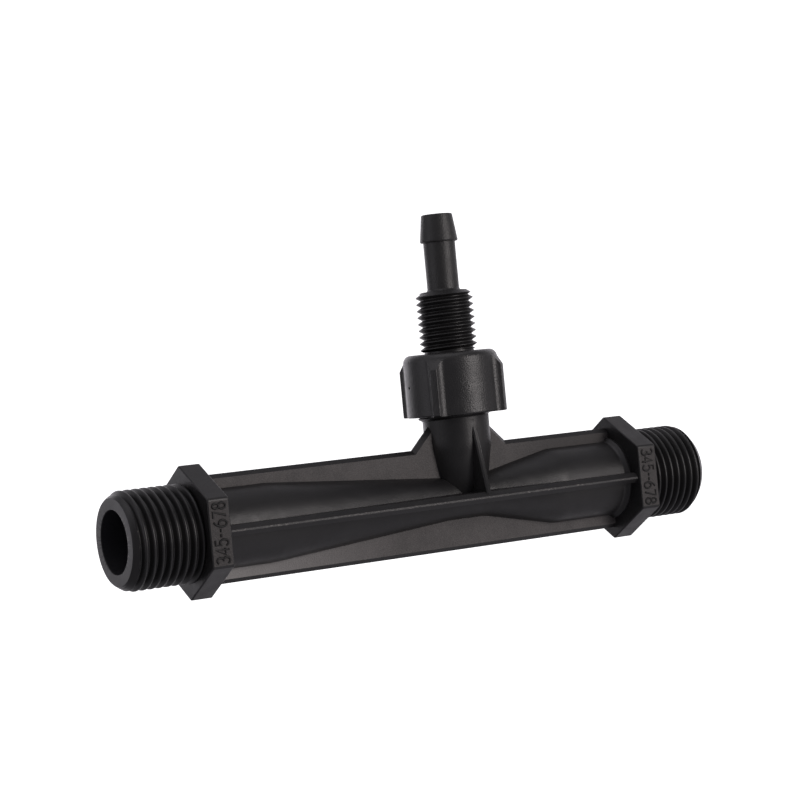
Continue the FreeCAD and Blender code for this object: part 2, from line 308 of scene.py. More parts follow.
def lower_of(one, other, blend_height=0.12 * MM):
    """The smaller of two heights, with a rounded change from one to the other."""
    near = max(blend_height - abs(one - other), 0.0) / blend_height
    return min(one, other) - near * near * blend_height / 4


def stations(start, end, step):
    """Evenly spaced places from start to end, both included."""
    count = max(1, round(abs(end - start) / step))
    return [start + (end - start) * k / count for k in range(count + 1)]


def on_pipe(place, radius, angle):
    return Vector((place, radius * math.cos(angle), radius * math.sin(angle)))


def on_stem(place, radius, angle):
    return Vector((STEM_X + radius * math.cos(angle), radius * math.sin(angle), place))


def pipe_radius(point):
    return math.hypot(point.y, point.z)


def stem_radius(point):
    return math.hypot(point.x - STEM_X, point.y)


def pipe_angle(point):
    return math.atan2(point.z, point.y)


def stem_angle(point):
    return math.atan2(point.y, point.x - STEM_X)


def thread_rings(sizes, places, crest, point, radius_at):
    """Rings of points along a thread. radius_at takes a place, how many pitches it lies past a
    crest, and the angle round the axis."""
    rings = []
    for along in places:
        ring = []
        for k in range(sizes.segments):
            angle = TURN * k / sizes.segments
            phase = (along - crest) / sizes.pitch - angle / TURN
            ring.append(point(along, radius_at(along, phase, angle), angle))
        rings.append(ring)
    return rings


def copy_of_node(name, node):
    """A new object with a copy of a CAD node's mesh, and its skin with the seams joined."""
    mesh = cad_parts[node].data.copy()
    mesh.name = name
    mesh.materials.clear()
    piece = bpy.data.objects.new(name, mesh)
    bpy.context.scene.collection.objects.link(piece)
    skin = bmesh.new()
    skin.from_mesh(mesh)
    bmesh.ops.remove_doubles(skin, verts=skin.verts, dist=HAIR / 100)
    return piece, skin


def reach_of(face, radius):
    """Radius of a face's farthest corner."""
    return max(radius(v.co) for v in face.verts)


def cut_away(skin, unwanted):
    """Deletes the faces that the test picks."""
    bmesh.ops.delete(skin, geom=[f for f in skin.faces if unwanted(f)], context="FACES")


def open_ring(skin, belongs):
    """Points of the open edges that pass the test."""
    edges = [e for e in skin.edges if e.is_boundary and all(belongs(v.co) for v in e.verts)]
    if not edges:
        raise RuntimeError("the packed mesh has no edge where a thread should be joined on")
    return {v for e in edges for v in e.verts}


def wind(skin, rings):
    """Joins rings of points into a tube and returns its first and last ring."""
    laid = [[skin.verts.new(p) for p in ring] for ring in rings]
    for lower, upper in zip(laid, laid[1:]):
        for k in range(len(lower)):
            skin.faces.new((lower[k], lower[k - 1], upper[k - 1], upper[k]))
    return laid[0], laid[-1]


def close_up(skin, angle_of, *pairs):
    """Fills the gap between each pair of rings with triangles, in step round their axis."""

    def place(ring, k):
        return angle_of(ring[k % len(ring)].co) + TURN * (k // len(ring))

    for pair in pairs:
        one, other = (sorted(ring, key=lambda v: angle_of(v.co)) for ring in pair)
        i = j = 0
        while i < len(one) or j < len(other):
            first = i < len(one) and (j == len(other) or place(one, i + 1) < place(other, j + 1))
            here, there = one[i % len(one)], other[j % len(other)]
            i, j = (i + 1, j) if first else (i, j + 1)
            skin.faces.new((here, there, one[i % len(one)] if first else other[j % len(other)]))


def hang_up(piece, skin, materials, body, node):
    """Writes the mesh back, shades it, gives the piece its materials and body, and hides the
    imported node.
    """
    bmesh.ops.recalc_face_normals(skin, faces=skin.faces)
    for edge in skin.edges:
        edge.smooth = edge.is_manifold and edge.calc_face_angle(0) < SHARP_BEND
    for face in skin.faces:
        face.smooth = True
    skin.to_mesh(piece.data)
    skin.free()
    custom = piece.data.attributes.get("custom_normal")
    if custom:
        piece.data.attributes.remove(custom)
    for material in materials:
        piece.data.materials.append(material)
    weighted = piece.modifiers.new("Even flats", "WEIGHTED_NORMAL")
    weighted.keep_sharp = True
    weighted.weight = 90
    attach(piece, body)
    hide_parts(node)


# Node materials


def blank_material(name):
    material = bpy.data.materials.new(name)
    material.use_nodes = True
    tree = material.node_tree
    return material, tree, tree.nodes["Principled BSDF"]


def add(tree, kind, sockets=None, **settings):
    """Adds a node; a socket takes a number, a colour or another node's output."""
    node = tree.nodes.new(kind)
    for key, value in settings.items():
        setattr(node, key, value)
    for key, value in (sockets or {}).items():
        feed(tree, node.inputs[key], value)
    return node


def feed(tree, socket, value):
    if isinstance(value, bpy.types.NodeSocket):
        tree.links.new(value, socket)
    elif hasattr(value, "__len__") and len(value) == 3 and len(socket.default_value) == 4:
        socket.default_value = (*value, 1.0)
    else:
        socket.default_value = value


def cloud(tree, place, size, detail=2.0, lift=0.5):
    """Soft noise with features of the given size."""
    node = add(
        tree,
        "ShaderNodeTexNoise",
        {"Vector": place, "Scale": 1 / size, "Detail": detail, "Roughness": lift},
    )
    return node.outputs["Fac"]


def spread(tree, value, low, high, to_low=0.0, to_high=1.0):
    node = add(
        tree,
        "ShaderNodeMapRange",
        {"Value": value, "From Min": low, "From Max": high, "To Min": to_low, "To Max": to_high},
    )
    return node.outputs["Result"]


def blend(tree, part, one, other):
    node = add(tree, "ShaderNodeMix", data_type="RGBA")
    feed(tree, node.inputs[0], part)
    feed(tree, node.inputs[6], one)
    feed(tree, node.inputs[7], other)
    return node.outputs[2]


def plus(tree, one, other):
    return add(tree, "ShaderNodeMath", {0: one, 1: other}, operation="ADD").outputs["Value"]


def times(tree, one, other):
    return add(tree, "ShaderNodeMath", {0: one, 1: other}, operation="MULTIPLY").outputs["Value"]


def relief(tree, height, depth, below=None):
    """Bump of the given depth in metres, on top of another bump."""
    sockets = {"Height": height, "Strength": 1.0, "Distance": depth}
    if below is not None:
        sockets["Normal"] = below
    return add(tree, "ShaderNodeBump", sockets).outputs["Normal"]


def object_place(tree):
    return add(tree, "ShaderNodeTexCoord").outputs["Object"]


def satin_plastic(name, dark, light, rough, grain, deep, shine=0.5):
    """Smooth moulding with slow flow patches, a fine grain and a faint waviness."""
    material, tree, shader = blank_material(name)
    place = object_place(tree)
    patches = spread(tree, cloud(tree, place, 9 * MM, detail=3.0), 0.35, 0.65)
    fine = cloud(tree, place, grain)
    tone = blend(tree, patches, dark, light)
    specks = spread(tree, fine, 0.3, 0.7, to_high=0.45)
    feed(tree, shader.inputs["Base Color"], blend(tree, specks, tone, light))
    worn = cloud(tree, place, 3 * MM, detail=4.0, lift=0.6)
    feed(tree, shader.inputs["Roughness"], spread(tree, worn, 0.3, 0.7, *rough))
    wave = relief(tree, cloud(tree, place, 7 * MM, detail=1.0), 0.005 * MM)
    feed(tree, shader.inputs["Normal"], relief(tree, fine, deep, wave))
    shader.inputs["Specular IOR Level"].default_value = shine
    shader.inputs["IOR"].default_value = 1.5
    return material


# Painted light on the web faces along the pipe: painted shade darkens the upper web past the stem,
# and a painted reflection makes the lower web paler towards the outlet. The axis parts the two
# webs.
PAINTED_SHADE_FROM, PAINTED_SHADE_TO, PAINTED_SHADE_MOST = STEM_X + 10 * MM, STEM_X + 24 * MM, 0.75
PAINTED_REFLECTION_FROM, PAINTED_REFLECTION_TO = 50 * MM, 9 * MM
PIT_SPACING = 0.33 * MM
CRUMB_SIZE = 0.22 * MM
BLOTCH_SIZE = 5 * MM
SPARK_DEPTH = 0.12 * MM


def spark_texture(name, dark, light, rough, pale=None):
    """Coarse spark-eroded faces: packed pits over soft blotches. With a pale tone, the faces get
    the
    painted light of the web faces: painted shade past the stem, a painted reflection near the
    outlet."""
    material, tree, shader = blank_material(name)
    place = object_place(tree)
    pits = add(
        tree,
        "ShaderNodeTexVoronoi",
        {"Vector": place, "Scale": 1 / PIT_SPACING, "Randomness": 1.0},
        feature="F1",
    ).outputs["Distance"]
    crumbs = cloud(tree, place, CRUMB_SIZE, detail=3.0, lift=0.6)
    blotches = cloud(tree, place, BLOTCH_SIZE, detail=4.0, lift=0.6)
    crumb_share = spread(tree, crumbs, 0.32, 0.68, to_high=0.6)
    blotch_share = spread(tree, blotches, 0.35, 0.65, to_high=0.4)
    shade = plus(tree, crumb_share, blotch_share)
    tone = blend(tree, shade, dark, light)
    # Painted light: painted shade on the upper web past the stem, painted reflection on the lower
    # web near the outlet
    if pale is not None:
        parts = add(tree, "ShaderNodeSeparateXYZ", {"Vector": place}).outputs
        above = spread(tree, parts["Z"], -1 * MM, 1 * MM)
        below = spread(tree, parts["Z"], 1 * MM, -1 * MM)
        painted_shade_past_stem = spread(tree, parts["X"], PAINTED_SHADE_FROM, PAINTED_SHADE_TO, to_high=PAINTED_SHADE_MOST)
        painted_reflection_near_outlet = spread(tree, parts["X"], PAINTED_REFLECTION_FROM, PAINTED_REFLECTION_TO)
        tone = blend(tree, times(tree, painted_shade_past_stem, above), tone, dark)
        patchy_painted_reflection = times(tree, painted_reflection_near_outlet, spread(tree, shade, 0.0, 1.0, to_low=0.75))
        tone = blend(tree, times(tree, patchy_painted_reflection, below), tone, pale)
    feed(tree, shader.inputs["Base Color"], tone)
    feed(tree, shader.inputs["Roughness"], spread(tree, blotches, 0.3, 0.7, *rough))
    feed(tree, shader.inputs["Normal"], relief(tree, times(tree, pits, crumbs), SPARK_DEPTH))
    shader.inputs["Specular IOR Level"].default_value = 0.5
    return material


def scuffed_and_highlit_ridge(name, plain, fleck_and_highlight):
    """The webs' narrow ridges, rubbed lighter in short flecks that are partly real scuffs and
    partly a painted highlight drawn out along the ridge.
    """
    material, tree, shader = blank_material(name)
    place = object_place(tree)
    stretched = add(
        tree, "ShaderNodeMapping", {"Vector": place, "Scale": (0.35, 1.0, 1.0)}
    ).outputs["Vector"]
    flecks = cloud(tree, stretched, 0.3 * MM, detail=3.0, lift=0.65)
    rubbed = spread(tree, flecks, 0.56, 0.66)
    # Light flecks: partly real scuffs, partly a painted highlight stretched along the ridge
    feed(tree, shader.inputs["Base Color"], blend(tree, rubbed, plain, fleck_and_highlight))
    feed(tree, shader.inputs["Roughness"], spread(tree, flecks, 0.3, 0.7, 0.3, 0.6))
    feed(tree, shader.inputs["Normal"], relief(tree, flecks, 0.02 * MM))
    return material


def soft_rubber(name, tone):
    material, tree, shader = blank_material(name)
    place = object_place(tree)
    bloom = spread(tree, cloud(tree, place, 2 * MM, detail=4.0), 0.4, 0.75)
    feed(tree, shader.inputs["Base Color"], blend(tree, bloom, tone, [2.2 * c for c in tone]))
    feed(tree, shader.inputs["Roughness"], spread(tree, bloom, 0, 1, 0.62, 0.85))
    feed(tree, shader.inputs["Normal"], relief(tree, cloud(tree, place, 0.12 * MM), 0.01 * MM))
    return material


def polished_ball(name, tone):
    material, tree, shader = blank_material(name)
    place = object_place(tree)
    haze = spread(tree, cloud(tree, place, 1.5 * MM, detail=3.0), 0.35, 0.7)
    feed(tree, shader.inputs["Base Color"], blend(tree, haze, tone, [0.9 * c for c in tone]))
    feed(tree, shader.inputs["Roughness"], spread(tree, haze, 0, 1, 0.14, 0.28))
    feed(tree, shader.inputs["Normal"], relief(tree, cloud(tree, place, 0.2 * MM), 0.002 * MM))
    return material


# The injector body


RIM_STEPS = 4  # round the bore's edge
SATIN, WEBS, RIDGES, THREADS, FLATS, WATER_WAY = range(6)  # order of the body's materials


def pipe_thread_rings(sizes, end_face, inward, flange, crest, end_ring, lead):
    """Rings of points from an end face's edge, over the lead and the thread to the flange."""
    step = sizes.pitch / sizes.steps

    def envelope(depth_in):
        """Largest radius allowed at a distance from the end face."""
        if depth_in >= lead:
            return sizes.crest_radius
        cone = end_ring + (sizes.crest_radius - end_ring) * depth_in / lead
        swell = sizes.lead_swell * smooth_between(sizes.swell_from, sizes.swell_to, depth_in)
        return min(cone + swell, sizes.crest_radius)

    def radius_at(along, phase, angle):
        thread = sizes.crest_radius - sizes.depth * (1 - thread_wave(phase, sizes))
        radius = lower_of(thread, envelope((along - end_face) * inward))
        at_flange = (flange - along) * inward < step / 2
        return min(radius, sizes.flange_radius) if at_flange else radius

    return thread_rings(sizes, stations(end_face, flange, step), crest, on_pipe, radius_at)


def ease_rim(skin, bore_edge, sizes, end_face, inward):
    """Draws the bore's edge back to the end face, rounds it over and returns the outer ring."""
    for vert in bore_edge:
        vert.co.x = end_face + inward * (sizes.rim_round + HAIR)
    rings = []
    for k in range(RIM_STEPS + 1):
        turn = math.radians(90 * k / RIM_STEPS)
        along = end_face + inward * sizes.rim_round * (1 - math.sin(turn))
        radius = sizes.bore_radius + sizes.rim_round * (1 - math.cos(turn))
        steps = sizes.segments
        rings.append([on_pipe(along, radius, TURN * n / steps) for n in range(steps)])
    inner, outer = wind(skin, rings)
    close_up(skin, pipe_angle, (bore_edge, inner))
    return outer


def thread_pipe_end(skin, sizes, cad_end, set_back, inward, flange, crest, end_ring, lead):
    """Winds a pipe thread between a flange and its end face, and joins both to the skin."""
    flange_edge = open_ring(skin, lambda p: abs(p.x - flange) < HAIR)
    bore_edge = open_ring(skin, lambda p: abs(p.x - cad_end) < HAIR)
    end_face = cad_end + inward * set_back
    rings = pipe_thread_rings(sizes, end_face, inward, flange, crest, end_ring, lead)
    end, root = wind(skin, rings)
    rim = ease_rim(skin, bore_edge, sizes, end_face, inward)
    close_up(skin, pipe_angle, (rim, end), (flange_edge, root))


def thread_port(skin, sizes, top):
    """Winds the port's thread, which grows out of the stem and ends in a lead."""
    stem_edge = open_ring(skin, lambda p: abs(p.z - sizes.skin_base) < HAIR)
    mouth_edge = open_ring(skin, lambda p: abs(p.z - top) < HAIR)

    def radius_at(height, phase, angle):
        crest_height = sizes.crest_place + (round(phase) + angle / TURN) * sizes.pitch
        full = sizes.run_out + sizes.run_out_length
        wave = thread_wave(phase, sizes) * smooth_between(sizes.run_out, full, crest_height)
        radius = STEM_RADIUS + (sizes.crest_radius - STEM_RADIUS) * wave
        return min(radius, PORT_TOP_RADIUS + (top - height))

    heights = stations(sizes.skin_base, top, sizes.pitch / sizes.steps)
    rings = thread_rings(sizes, heights, sizes.crest_place, on_stem, radius_at)
    off_the_cut = Vector((0, 0, 0.4 * HAIR))  # or the two edges would fall together
    rings[0] = [point + off_the_cut for point in rings[0]]
    foot, mouth = wind(skin, rings)
    close_up(skin, stem_angle, (stem_edge, foot), (mouth_edge, mouth))


def cut_stem(skin, height):
    """Cuts the stem's outer faces in two at the height where the port's skin is joined on."""

    def on_outside(face):
        heights = [v.co.z for v in face.verts]
        outside = stem_radius(face.calc_center_median()) > CHAMBER_RADIUS + HAIR
        return outside and (min(heights) > STEM_RIB_TOP or max(heights) > LAND_FOOT)

    faces = [f for f in skin.faces if on_outside(f)]
    edges = {e for f in faces for e in f.edges}
    verts = {v for f in faces for v in f.verts}
    bmesh.ops.bisect_plane(
        skin, geom=[*faces, *edges, *verts], plane_co=(0, 0, height), plane_no=(0, 0, 1)
    )


def past_flanges(point, inlet_flange):
    return point.x < -HAIR or point.x > inlet_flange + HAIR


def sort_body_faces(skin, inlet_flange, bore_radius):
    """Gives each face of the body its material by its place and by the way that it faces."""
    for face in skin.faces:
        centre = face.calc_center_median()
        sideways = abs(face.normal.y) > 0.999
        if sideways and abs(abs(centre.y) - WEB_FACE) < HAIR:
            face.material_index = WEBS
        elif sideways and abs(abs(centre.y) - FLAT_FACE) < HAIR:
            face.material_index = FLATS
        elif sideways and abs(abs(centre.y) - RIDGE_FACE) < HAIR:
            face.material_index = RIDGES
        elif face.normal.yz.dot(centre.yz) < 0 and pipe_radius(centre) < bore_radius:
            face.material_index = WATER_WAY
        elif past_flanges(centre, inlet_flange) or centre.z > LAND_FOOT:
            face.material_index = THREADS
        else:
            face.material_index = SATIN


def body_finishes(tones):
    """The body's materials in their order, each from its own pair of tones."""
    body = tones.body_dark, tones.body_light
    webs = tones.web_dark, tones.web_light
    flats = tones.flat_dark, tones.flat_light
    bore = tones.bore_dark, tones.bore_light
    return [
        satin_plastic(
            "Satin moulded black", *body, rough=(0.36, 0.48), grain=0.28 * MM, deep=0.022 * MM
        ),
        spark_texture("Sparked web faces", *webs, rough=(0.60, 0.75), pale=tones.web_painted_reflection),
        scuffed_and_highlit_ridge("Scuffed web ridges", tones.body_light, tones.ridge_scuff_and_highlight),
        satin_plastic("Thread black", *body, rough=(0.34, 0.42), grain=0.3 * MM, deep=0.002 * MM),
        spark_texture("Sparked flange flats", *flats, rough=(0.50, 0.65)),
        # Painted light and shade: paler than the body for haze light in the bore, low shine for
        # painted shade at its mouth
        satin_plastic(
            "Water way", *bore, rough=(0.5, 0.6), grain=0.5 * MM, deep=0.01 * MM, shine=0.2
        ),
    ]


class INJECTOR_OT_body(bpy.types.Operator):
    """Build the moulded body with its three threads"""

    bl_idname = "injector.body"
    bl_label = "Injector body"

    def execute(self, context):
        pipe = context.scene.pipe_thread
        port = context.scene.port_thread
        low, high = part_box("injector_body")
        inlet_flange = high.x + low.x
        piece, skin = copy_of_node("moulded_body", "injector_body")
        cut_stem(skin, port.skin_base)

        def on_a_thread(face):
            centre = face.calc_center_median()
            outside_bore = reach_of(face, pipe_radius) > pipe.bore_radius + HAIR
            above_base = centre.z > port.skin_base + HAIR / 2
            outside_chamber = reach_of(face, stem_radius) > CHAMBER_RADIUS + HAIR
            on_pipe_end = past_flanges(centre, inlet_flange) and outside_bore
            return on_pipe_end or above_base and outside_chamber

        cut_away(skin, on_a_thread)
        thread_pipe_end(
            skin,
            pipe,
            cad_end=low.x,
            set_back=pipe.set_back,
            inward=1,
            flange=0.0,
            crest=pipe.outlet_crest,
            end_ring=pipe.outlet_ring,
            lead=pipe.outlet_lead,
        )
        thread_pipe_end(
            skin,
            pipe,
            cad_end=high.x,
            set_back=0.0,
            inward=-1,
            flange=inlet_flange,
            crest=pipe.inlet_crest,
            end_ring=pipe.inlet_ring,
            lead=pipe.inlet_lead,
        )
        thread_port(skin, port, high.z)
        bmesh.ops.recalc_face_normals(skin, faces=skin.faces)
        sort_body_faces(skin, inlet_flange, pipe.bore_radius)
        finishes = body_finishes(context.scene.black_plastic)
        hang_up(piece, skin, finishes, "body", "injector_body")
        return {"FINISHED"}


# Figures on the flange flats


SAME_POINT = 0.001  # ends this near, in figure heights, make a stroke a loop


def arc(cx, cy, rx, ry, start, end, count=10):
    """Points of an ellipse arc, angles in degrees."""
    turn = [math.radians(start + (end - start) * k / count) for k in range(count + 1)]
    return [(cx + rx * math.cos(a), cy + ry * math.sin(a)) for a in turn]


def strokes_of(figure):
    """Pen strokes of one figure in a box one wide and one high."""
    if figure == "-":
        return [[(0.1, 0.5), (0.9, 0.5)]]
    if figure == "3":
        return [arc(0.46, 0.75, 0.42, 0.25, 150, -90) + arc(0.46, 0.26, 0.48, 0.26, 90, -150)]
    if figure == "4":
        return [[(0.72, 0.0), (0.72, 1.0), (0.02, 0.3), (0.98, 0.3)]]
    if figure == "5":
        return [[(0.88, 1.0), (0.18, 1.0), (0.1, 0.56)] + arc(0.46, 0.33, 0.48, 0.33, 130, -150)]
    if figure == "6":
        return [arc(0.98, 0.32, 0.95, 0.68, 105, 180) + arc(0.5, 0.31, 0.47, 0.31, 180, 540, 18)]
    if figure == "7":
        return [[(0.02, 1.0), (0.96, 1.0), (0.32, 0.0)]]
    if figure == "8":
        return [arc(0.5, 0.76, 0.38, 0.24, 270, -90, 16), arc(0.5, 0.27, 0.46, 0.27, 90, 450, 16)]
    raise ValueError(f"no strokes for the figure {figure!r}")


def figure_curve(name, sizes, centre_x, upwards):
    """A row of figures as rounded strokes, half sunk in a flange flat."""
    curve = bpy.data.curves.new(name, "CURVE")
    curve.dimensions = "3D"
    curve.bevel_depth = sizes.stroke
    curve.bevel_resolution = 3
    curve.use_fill_caps = True
    widths = [sizes.dash_advance if c == "-" else sizes.advance for c in sizes.figures]
    run = -sum(widths) / 2
    sunk = sizes.stroke - sizes.relief
    for figure, advance in zip(sizes.figures, widths):
        wide = sizes.dash_width if figure == "-" else sizes.width
        left = run + (advance - wide) / 2
        for stroke in strokes_of(figure):
            spline = curve.splines.new("POLY")
            if math.dist(stroke[0], stroke[-1]) < SAME_POINT:
                spline.use_cyclic_u = True
                stroke = stroke[:-1]
            spline.points.add(len(stroke) - 1)
            for point, (u, v) in zip(spline.points, stroke):
                along = left + wide * u
                above = sizes.height * (v - 0.5)
                point.co = (centre_x - upwards * above, sunk - FLAT_FACE, upwards * along, 1.0)
        run += advance
    return curve


class INJECTOR_OT_figures(bpy.types.Operator):
    """Raise plain figures on the front flats of both flanges"""

    bl_idname = "injector.figures"
    bl_label = "Flange figures"

    def execute(self, context):
        sizes = context.scene.flange_figures
        low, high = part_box("injector_body")
        inlet_flange = high.x + low.x
        skin = bmesh.new()
        for middle, upwards in ((sizes.middle, 1), (inlet_flange - sizes.middle, -1)):
            curve = figure_curve("flange_figures", sizes, middle, upwards)
            holder = bpy.data.objects.new(curve.name, curve)
            mesh = bpy.data.meshes.new_from_object(holder)
            skin.from_mesh(mesh)
            bpy.data.objects.remove(holder)
            bpy.data.meshes.remove(mesh)
        mesh = bpy.data.meshes.new("flange_figures")
        for face in skin.faces:
            face.smooth = True
        skin.to_mesh(mesh)
        skin.free()
        piece = bpy.data.objects.new("flange_figures", mesh)
        context.scene.collection.objects.link(piece)
        # Painted shade: a darker, less glossy copy of the body plastic stands in for the shade in
        # the strokes
        tone = context.scene.black_plastic.figure
        finish = satin_plastic(
            "Figure black",
            tone,
            tone,
            rough=(0.42, 0.55),
            grain=0.2 * MM,
            deep=0.01 * MM,
            shine=0.35,
        )
        mesh.materials.append(finish)
        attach(piece, "body")
        return {"FINISHED"}


# Hose nipple


class INJECTOR_OT_nipple(bpy.types.Operator):
    """Build the hose nipple with its thread"""

    bl_idname = "injector.nipple"
    bl_label = "Hose nipple"

    def execute(self, context):
        sizes = context.scene.nipple_thread
        tones = context.scene.black_plastic
        foot_height, top = NIPPLE_THREAD_FOOT, NIPPLE_THREAD_TOP
        piece, skin = copy_of_node("threaded_nipple", "hose_nipple")

        def on_thread(face):
            height = face.calc_center_median().z
            level = foot_height - HAIR < height < top + HAIR / 10
            return level and reach_of(face, stem_radius) > NIPPLE_BORE + 2 * HAIR

        def radius_at(height, phase, angle):
            drawn_in = 1 - min((top - height) / sizes.lead_length, 1.0)
            lead = sizes.crest_radius - sizes.lead_drop * drawn_in
            return min(sizes.crest_radius - sizes.depth * (1 - thread_wave(phase, sizes)), lead)

        cut_away(skin, on_thread)
        foot_edge = open_ring(skin, lambda p: abs(p.z - foot_height) < HAIR)
        neck_edge = open_ring(skin, lambda p: abs(p.z - top) < HAIR)
        heights = stations(foot_height, top, sizes.pitch / sizes.steps)
        rings = thread_rings(sizes, heights, sizes.crest_place, on_stem, radius_at)
        foot, shoulder = wind(skin, rings)
        close_up(skin, stem_angle, (foot_edge, foot), (neck_edge, shoulder))
        finish = satin_plastic(
            "Nipple black",
            tones.nipple_dark,
            tones.nipple_light,
            rough=(0.40, 0.48),
            grain=0.32 * MM,
            deep=0.08 * MM,
            shine=0.55,
        )
        threads = bpy.data.materials["Thread black"]
        for face in skin.faces:
            face.material_index = int(face.calc_center_median().z < top - HAIR)
        hang_up(piece, skin, [finish, threads], "nipple", "hose_nipple")
        return {"FINISHED"}


# Union nut


def grained_nut(tones, pit):
    """Nut moulding: an even grain that breaks up its highlights, with one small pit whose floor
    holds painted shade.
    """
    material = satin_plastic(
        "Nut black",
        tones.nut_dark,
        tones.nut_light,
        rough=(0.32, 0.42),
        grain=0.30 * MM,
        deep=0.063 * MM,
    )
    tree = material.node_tree
    shader = tree.nodes["Principled BSDF"]
    sockets = {0: object_place(tree), 1: pit.middle}
    away = add(tree, "ShaderNodeVectorMath", sockets, operation="DISTANCE").outputs["Value"]
    wall = spread(tree, away, pit.floor_radius, pit.edge_radius)
    tone, bump = (shader.inputs[key].links[0].from_socket for key in ("Base Color", "Normal"))
    # Painted shade: the pit's floor is darkened to near black and its reflection dimmed, over a
    # real relief
    feed(tree, shader.inputs["Base Color"], blend(tree, wall, pit.dark, tone))
    feed(tree, shader.inputs["Normal"], relief(tree, wall, pit.depth, bump))
    feed(tree, shader.inputs["Specular IOR Level"], spread(tree, wall, 0, 1, to_high=0.58))
    return material


class INJECTOR_OT_nut(bpy.types.Operator):
    """Build the union nut with its inner thread"""

    bl_idname = "injector.nut"
    bl_label = "Union nut"

    def execute(self, context):
        port = context.scene.port_thread
        low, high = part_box("union_nut")
        wall = port.crest_radius + port.clearance
        mouth, roof = low.z + NUT_MOUTH, high.z - NUT_ROOF
        piece, skin = copy_of_node("threaded_nut", "union_nut")

        def on_bore(face):
            height = face.calc_center_median().z
            at_wall = wall - HAIR < reach_of(face, stem_radius) < wall + HAIR
            return at_wall and mouth < height < roof

        def radius_at(height, phase, angle):
            fade = port.pitch / 2
            grown = smooth_between(mouth, mouth + fade, height)
            grown *= 1 - smooth_between(port.nut_thread_top - fade, port.nut_thread_top, height)
            return wall - port.depth * (1 - thread_wave(phase, port)) * grown

        cut_away(skin, on_bore)
        lower_edge = open_ring(skin, lambda p: abs(p.z - mouth) < HAIR)
        upper_edge = open_ring(skin, lambda p: abs(p.z - roof) < HAIR)
        heights = stations(mouth + HAIR, roof - HAIR, port.pitch / port.steps)
        rings = thread_rings(port, heights, port.crest_place, on_stem, radius_at)
        foot, head = wind(skin, rings)
        close_up(skin, stem_angle, (lower_edge, foot), (upper_edge, head))
        finish = grained_nut(context.scene.black_plastic, context.scene.nut_pit)
        hang_up(piece, skin, [finish], "nut", "union_nut")
        return {"FINISHED"}


# Sealing ring and check ball


def dress_node(node, material):
    """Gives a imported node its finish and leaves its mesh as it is."""
    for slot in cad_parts[node].material_slots:
        slot.link = "OBJECT"
        slot.material = material


class INJECTOR_OT_valve_parts(bpy.types.Operator):
    """Give the sealing ring and the check ball their finishes"""

    bl_idname = "injector.valve_parts"
    bl_label = "Sealing ring and ball"

    def execute(self, context):
        tones = context.scene.black_plastic
        dress_node("sealing_ring", soft_rubber("Seal rubber", tones.rubber))
        dress_node("check_ball", polished_ball("Check ball", tones.ball))
        return {"FINISHED"}


# Studio


ROOM_TINT = (0.185, 0.18, 0.195)
PATCH_CORE = 0.3  # share of a patch's reach at full strength
ROOM_PATCHES = (
    # azimuth, elevation, reach in degrees, strength, colour
    (149, 2, 55, 0.75, (1.02, 0.97, 1.03)),  # backdrop
    (-176, 8, 30, 0.9, (1.0, 0.97, 1.02)),  # behind, left
    (-96, 5, 28, 0.70, (1.0, 0.97, 1.03)),  # left
    (70, 5, 40, 0.12, (1.02, 0.97, 1.0)),  # right
    (110, 15, 40, 0.28, (1.0, 0.97, 1.0)),  # right, half behind
    (-90, 55, 45, 0.38, (1.0, 0.97, 1.02)),  # ceiling, left
    (-20, 86, 30, 0.60, (1.0, 0.97, 1.02)),  # ceiling, above
    (110, -45, 40, 0.12, (1.02, 0.97, 1.02)),  # low, right
    (25, -55, 35, 0.38, (1.02, 0.96, 1.04)),  # table in front
    (25, -20, 35, 0.12, (1.02, 0.96, 1.0)),  # front, low
)
FLOOR_SEGMENTS = 96
FLOOR_RINGS = 6  # on the floor's flat part
EDGE_RINGS = 12  # round its turned-up edge
EDGE_BEND = 0.7  # radius of that edge as a share of its height


def lit_floor(settings):
    """A pale table that glows like a lit sheet."""
    material, tree, shader = blank_material("Pale lit floor")
    place = object_place(tree)
    mottled = spread(tree, cloud(tree, place, 0.4), 0.3, 0.7)
    pale = tuple(settings.floor_colour)
    feed(tree, shader.inputs["Base Color"], blend(tree, mottled, pale, [0.985 * c for c in pale]))
    shader.inputs["Roughness"].default_value = 0.9
    shader.inputs["Emission Color"].default_value = (1, 1, 1, 1)
    shader.inputs["Emission Strength"].default_value = settings.floor_glow
    return material


def floor_profile(settings):
    """Radius and height from near the middle of the floor, up its rounded edge."""
    bend = settings.wall_height * EDGE_BEND
    line = [(settings.floor_radius * k / FLOOR_RINGS, 0.0) for k in range(1, FLOOR_RINGS + 1)]
    for k in range(1, EDGE_RINGS + 1):
        a = math.radians(90 * k / EDGE_RINGS)
        line.append((settings.floor_radius + bend * math.sin(a), bend * (1 - math.cos(a))))
    line.append((settings.floor_radius + bend, settings.wall_height))
    return line


def towards(azimuth, elevation):
    """Unit vector from the object; azimuth 0 is in front of it and 90 past its inlet."""
    a, e = math.radians(azimuth), math.radians(elevation)
    return Vector((math.sin(a) * math.cos(e), -math.cos(a) * math.cos(e), math.sin(e)))


